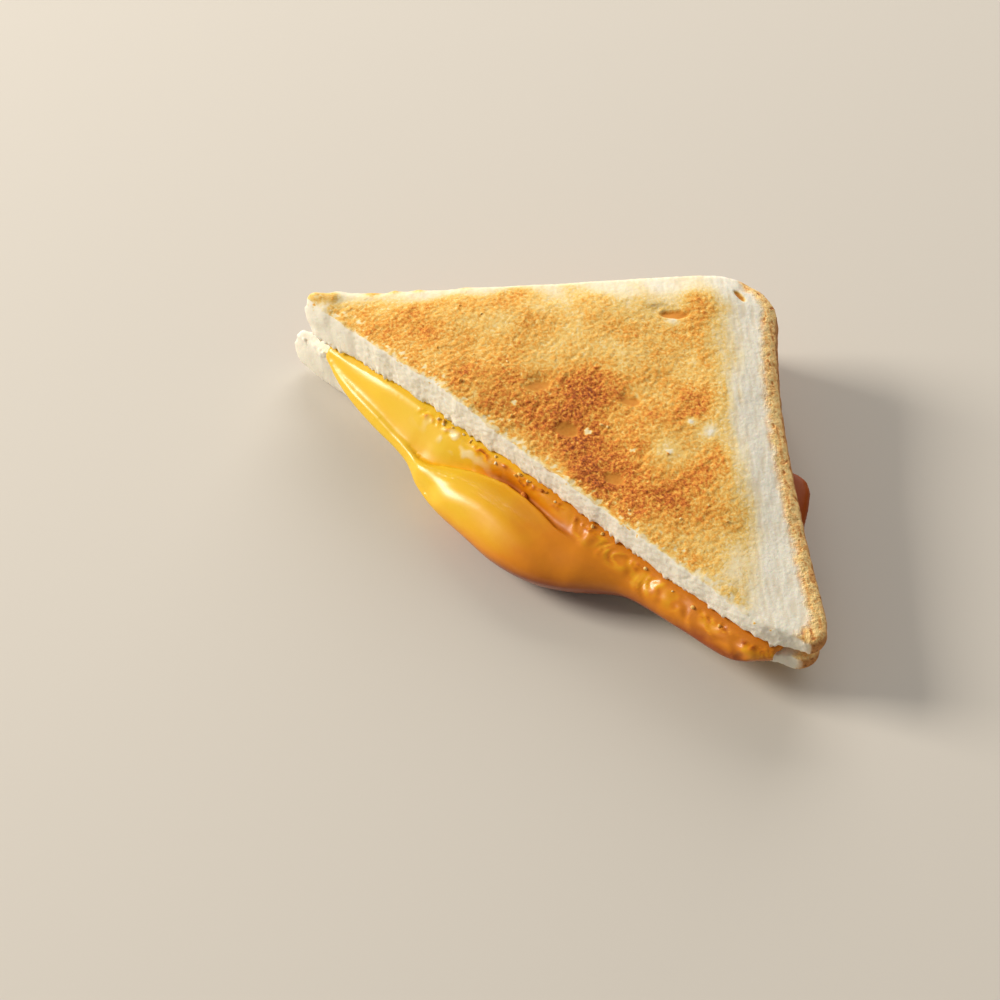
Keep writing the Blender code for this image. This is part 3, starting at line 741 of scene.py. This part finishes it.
# The crease where the lobe rises: x, and distance out of the cut
CREASE_LINE = [(-0.0270, 0.0074), (-0.0210, 0.0055), (-0.0165, 0.0038), (-0.0125, 0.0027),
               (-0.0080, 0.0019), (-0.0030, 0.0021), (0.0025, 0.0028), (0.0070, 0.0038),
               (0.0130, 0.0041)]
CHEESE_COLOURS = [(0.0, (238, 194, 38)), (0.30, (236, 174, 22)), (0.60, (222, 134, 8)),
                  (1.0, (152, 68, 2))]
# Painted highlight: pale colour for bumpy patches by the bread's edge
PAINTED_GLINT_COLOUR = (246, 226, 170)

# How the cheese's colour and bump vary, and how glossy it is outside its folds
CLOUD_PITCH = 0.007
CLOUD_SWING = 0.28
GLOSS = 0.80
RIPPLE_PITCH = 0.0025
CHEESE_BUMP = (0.10, 0.0004)


def shape_cheese(obj):
    """Soft ripples, and strands and torn bits where the cheese sticks to the bread; its colour
    depth, with painted shade and painted highlight.
    """
    points, normals = surface(obj)
    x = points[:, 0]
    out = cut_line(x) - points[:, 1]
    outside = smooth(out / 0.0012)
    upward = smooth((normals[:, 2] + 0.1) / 0.4)
    dip = hollows(obj, points, normals, CREASE_ROUNDS)
    hollow = np.clip(dip / CREASE_DEPTH, 0, 1)
    beyond = out - np.interp(x, *zip(*CREASE_LINE))
    crest = smooth((x + 0.028) / 0.008) * smooth((0.018 - x) / 0.008) * upward
    crest *= smooth((beyond - 0.0004) / 0.0006) * smooth((0.0100 - beyond) / 0.0040)
    tongue = smooth((x - 0.004) / 0.010)
    sheet = np.exp(-((x + 0.023) / 0.009) ** 2)
    near = smooth((0.0026 + 0.0026 * tongue - out) / 0.0026)
    stuck = upward * outside * near * np.maximum(tongue, 0.6 * sheet)
    patches = smooth(0.5 + 0.9 * grain(points, 0.0055, 46))
    strands = on_share(stuck, points, lambda p: grain(
        warped(p, 0.0050, 0.0022, 48), (0.0018, 0.0052, 0.0052), 44))
    lumps = on_share(stuck, points, lambda p: grain(p, (0.0030, 0.0026, 0.0026), 42))
    push = CHEESE_WAVES * outside * grain(points, (0.014, 0.006, 0.006), 41)
    push += DOME_SHARE * crest * hollows(obj, points, normals, DOME_ROUNDS) / MM
    push += stuck * (STRAND_HEIGHT * patches * (0.35 - np.abs(strands)) + LUMP_HEIGHT * lumps)
    torn = outside * upward * smooth((x + 0.044) / 0.014) * smooth((0.0022 - out) / 0.0012)
    torn *= smooth(0.55 + 0.9 * grain(points, 0.0040, 50)) * (1 - 0.5 * tongue)
    shreds = on_share(torn, points, lambda p: grain(p, 0.0009, 43))
    push += FRINGE_HEIGHT * torn * shreds
    push += INNER_SWELL * (1 - smooth((out + 0.0010) / 0.0008))
    # Base colour depth, with painted shade deepening the orange to the right and on the tongue
    tone_and_shade = (BASE_HEAT + RIGHT_SHADE * smooth((x + 0.024) / 0.038)
            + TONGUE_SHADE * smooth((x - 0.020) / 0.030))
    # Painted shade: deeper orange in the folds; deeper colour on torn shreds is their own
    tone_and_shade += (FOLD_SHADE * hollow * (1 - crest)
             + SHRED_HEAT * torn * np.maximum(0, shreds + 0.25))
    # Painted shade in the pocket between the crease and the bread
    inner = smooth((0.0036 - out) / 0.0014) * outside
    tone_and_shade += CREASE_POCKET_SHADE * np.exp(-((x + 0.010) / 0.008) ** 2) * inner
    tone_and_shade -= LUMP_PALING * stuck * tongue * smooth(0.4 + grain(points, 0.0026, 49))
    # Painted shade at the tongue's end
    tone_and_shade += TONGUE_END_SHADE * smooth((x - 0.038) / 0.014) * smooth((out - 0.002) / 0.003)
    # Painted shade underneath the lobe and tongue
    tone_and_shade += (UNDERSIDE_SHADE * smooth((0.0115 - points[:, 2]) / 0.0080) * outside
             * smooth((x + 0.030) / 0.020))
    tone_and_shade -= STRAND_PALING * stuck * tongue * patches * smooth((0.4 - np.abs(strands)) / 0.4)
    # Painted shade on the cheese between the slices, towards the back
    tone_and_shade += BACK_SHADE * smooth((points[:, 1] - CUT_Y - 0.010) / 0.010)
    # Painted highlight: pale, slightly raised patches on the sheet near the bread
    glint_patch = outside * upward * np.exp(-((x + 0.0235) / 0.0075) ** 2)
    glint_patch *= smooth((0.0042 - out) / 0.0016)
    glint_patch *= smooth(0.2 + 1.6 * grain(points, 0.0022, 47))
    push += GLINT_PATCH_HEIGHT * glint_patch
    points = points + normals * (MM * push)[:, None]
    blank = np.zeros(len(points))
    matte = hollow * (1 - crest) + 1.2 * torn + smooth((points[:, 1] - CUT_Y) / 0.004)
    matte = np.clip(matte, 0, 1)
    reshape(obj, points, (np.clip(tone_and_shade, 0, 1), matte, np.clip(glint_patch, 0, 1), blank))


def cheese_material():
    """Glossy, slightly translucent melted cheese, duller down in its folds, its colour
    deepened by painted shade and lightened by painted highlight.
    """
    made, tree, shader, place, (tone_and_shade, hollow, glint_patch, _) = new_material("melted_cheese")
    cloud = noise_at(tree, (-1400, 300), place, CLOUD_PITCH, 3.0)
    cloud = maths(tree, (-1000, 300), "MULTIPLY", cloud, CLOUD_SWING)
    cloud = maths(tree, (-800, 300), "ADD", cloud, tone_and_shade, clamp=True)
    # Cheese colours from yellow to deep orange; the deeper end is mostly painted shade
    colour = ramp(tree, (-600, 300), cloud, CHEESE_COLOURS)
    # Painted highlight: pale colour on those patches
    colour = mixed(tree, (-300, 300), glint_patch, colour, linear(*PAINTED_GLINT_COLOUR))
    feed(tree, shader.inputs["Base Color"], colour)
    shader.inputs["Roughness"].default_value = 0.50
    shader.inputs["Specular IOR Level"].default_value = 0.12
    shader.inputs["Subsurface Weight"].default_value = 0.10
    shader.inputs["Subsurface Radius"].default_value = (1.0, 0.7, 0.1)
    shader.inputs["Subsurface Scale"].default_value = 0.0010
    open_share = maths(tree, (-600, 0), "SUBTRACT", 1.0, hollow, clamp=True)
    gloss = maths(tree, (-400, 0), "MULTIPLY", open_share, GLOSS)
    feed(tree, shader.inputs["Coat Weight"], gloss)
    shader.inputs["Coat Roughness"].default_value = 0.27
    ripple = noise_at(tree, (-600, -300), place, RIPPLE_PITCH, 2.0)
    feed(tree, shader.inputs["Normal"], bump(tree, (0, -300), ripple, *CHEESE_BUMP))
    return made


def make_cheese():
    """The melted cheese, remeshed and rippled."""
    piece = refined_copy("cheese", "melted_cheese_layer", CHEESE_VOXEL, CHEESE_SOFTENING)
    shape_cheese(piece)
    piece.data.materials.append(cheese_material())
    finish_piece(piece, "cheese")
    return piece


# Loose crumbs along the cut: number, x from, to and most often at, distance out, how toasted
CUT_CRUMBS = 20
CUT_CRUMB_SPREAD = (-0.045, 0.052, -0.012)
CUT_CRUMB_START = 0.0002
CUT_CRUMB_REACH = 0.0010
CUT_CRUMB_TOAST = (0.15, 0.5)

# Loose crumbs on the toast: number, x from and to, distance from the cut, how toasted
TOP_CRUMBS = 14
TOP_CRUMB_SPREAD = (-0.045, 0.040)
TOP_CRUMB_START = 0.001
TOP_CRUMB_REACH = 0.020
TOP_CRUMB_TOAST = (0.2, 0.55)

# All loose crumbs: radii, and as shares of them width, height, lift and lumps; how often
# lumps come in one radius; how shaded they are; and the seed of where they fall
CRUMB_RADII = (0.00024, 0.00048)
CRUMB_WIDTHS = (0.6, 1.0)
CRUMB_HEIGHTS = (0.5, 0.8)
CRUMB_LIFT = 0.35
CRUMB_LUMPS = 0.6
CRUMB_LUMP_RATE = 0.6
CRUMB_SHADE = 0.15
CRUMB_SEED = 11

# Single crumbs that stand out: x, y, radius, how toasted
LARGE_CRUMBS = [(-0.0031, CUT_Y - 0.0024, 0.0010, 0.78),
                (-0.0125, CUT_Y - 0.0012, 0.0004, 0.10),
                (0.0002, CUT_Y - 0.0006, 0.0005, 0.70),
                (0.0012, CUT_Y - 0.0004, 0.0004, 0.60)]


def crumb_spots(rng):
    """Where crumbs fall: x, y, radius and how toasted each is."""
    spots = list(LARGE_CRUMBS)
    for _ in range(CUT_CRUMBS):
        x = rng.triangular(*CUT_CRUMB_SPREAD)
        y = float(cut_line(x)) - CUT_CRUMB_START - CUT_CRUMB_REACH * rng.random() ** 2
        spots.append((x, y, rng.uniform(*CRUMB_RADII), rng.uniform(*CUT_CRUMB_TOAST)))
    for _ in range(TOP_CRUMBS):
        x = rng.uniform(*TOP_CRUMB_SPREAD)
        y = CUT_Y + TOP_CRUMB_START + TOP_CRUMB_REACH * rng.random() ** 2
        spots.append((x, y, rng.uniform(*CRUMB_RADII), rng.uniform(*TOP_CRUMB_TOAST)))
    return spots


def make_crumbs(looks, ground):
    """Small crumbs lying on the toast and along the cut, as one mesh."""
    rng = random.Random(CRUMB_SEED)
    graph = bpy.context.evaluated_depsgraph_get()
    trees = [BVHTree.FromObject(piece, graph) for piece in ground]
    bm = bmesh.new()
    toasts = []
    for x, y, radius, toasted in crumb_spots(rng):
        above = Vector((x, y, 1.0))
        hits = [tree.ray_cast(above, Vector((0, 0, -1))) for tree in trees]
        place, normal = max((hit[:2] for hit in hits if hit[0]), key=lambda hit: hit[0].z)
        turn = Matrix.Rotation(rng.uniform(0, math.tau), 4, "Z")
        squeeze = Matrix.Diagonal(
            (1.0, rng.uniform(*CRUMB_WIDTHS), rng.uniform(*CRUMB_HEIGHTS), 1.0))
        spot = Matrix.Translation(place + normal * radius * CRUMB_LIFT) @ turn @ squeeze
        made = bmesh.ops.create_icosphere(bm, subdivisions=2, radius=radius, matrix=spot)
        for vert in made["verts"]:
            lump = noise.noise(CRUMB_LUMP_RATE * vert.co / radius)
            vert.co += (vert.co - place) * CRUMB_LUMPS * lump
            toasts.append(toasted)
    mesh = bpy.data.meshes.new("toast_crumbs")
    bm.to_mesh(mesh)
    bm.free()
    blank = np.zeros(len(toasts))
    store_looks(mesh, (np.array(toasts), blank, blank + CRUMB_SHADE, blank))
    mesh.materials.append(looks)
    piece = bpy.data.objects.new("toast_crumbs", mesh)
    bpy.context.scene.collection.objects.link(piece)
    finish_piece(piece)


# Stage: floor and surroundings, and lights as name, place, size, power and colour
FLOOR_SIZE = 6
FLOOR_COLOUR = (206, 199, 188)
SURROUNDINGS_COLOUR = (1.0, 0.98, 0.95, 1)
SURROUNDINGS_STRENGTH = 0.26
LIGHTS = [("key", (-1.22, -0.66, 0.80), 0.60, 28.0, (1.0, 0.95, 0.87)),
          ("window", (-0.84, 1.15, 0.74), 1.25, 20.0, (1.0, 0.97, 0.93))]


def make_floor():
    """Plain pale floor."""
    bpy.ops.mesh.primitive_plane_add(size=FLOOR_SIZE, location=(0, 0, 0))
    floor = bpy.context.object
    floor.name = "floor"
    made = bpy.data.materials.new("pale_floor")
    made.use_nodes = True
    shader = made.node_tree.nodes["Principled BSDF"]
    shader.inputs["Base Color"].default_value = (*linear(*FLOOR_COLOUR), 1)
    shader.inputs["Roughness"].default_value = 0.9
    floor.data.materials.append(made)


def make_light(name, place, size, power, colour):
    """Square soft light aimed at the sandwich."""
    data = bpy.data.lights.new(name, "AREA")
    data.size = size
    data.energy = power
    data.color = colour
    light = bpy.data.objects.new(name, data)
    bpy.context.scene.collection.objects.link(light)
    light.location = place
    light.rotation_euler = (-Vector(place)).to_track_quat("-Z", "Y").to_euler()


def make_lights():
    """Warm low key from the photo's left, soft light from behind and pale surroundings."""
    for light in LIGHTS:
        make_light(*light)
    world = bpy.data.worlds.new("surroundings")
    world.use_nodes = True
    background = world.node_tree.nodes["Background"]
    background.inputs[0].default_value = SURROUNDINGS_COLOUR
    background.inputs[1].default_value = SURROUNDINGS_STRENGTH
    bpy.context.scene.world = world
    bpy.context.scene.view_settings.view_transform = "Standard"


def make_camera():
    """Camera at the photo's viewing angle."""
    elevation, azimuth, roll = map(
        math.radians, (CAMERA_ELEVATION, CAMERA_AZIMUTH, CAMERA_ROLL))
    forward = Vector((math.sin(azimuth) * math.cos(elevation),
                      math.cos(azimuth) * math.cos(elevation), -math.sin(elevation)))
    level = Vector((math.cos(azimuth), -math.sin(azimuth), 0))
    upright = level.cross(forward)
    right = math.cos(roll) * level + math.sin(roll) * upright
    up = -math.sin(roll) * level + math.cos(roll) * upright
    data = bpy.data.cameras.new("camera")
    data.sensor_width = CAMERA_SENSOR
    data.lens = CAMERA_LENS
    data.clip_start = 0.01
    camera = bpy.data.objects.new("camera", data)
    bpy.context.scene.collection.objects.link(camera)
    camera.matrix_world = Matrix.Translation(CAMERA_PLACE) @ Matrix(
        (right, up, -forward)).transposed().to_4x4()
    bpy.context.scene.camera = camera


make_camera()
bread_looks = bread_material()
slices = make_bread(bread_looks)
cheese = make_cheese()
make_crumbs(bread_looks, slices + [cheese])
make_floor()
make_lights()

bpy.context.view_layer.update()
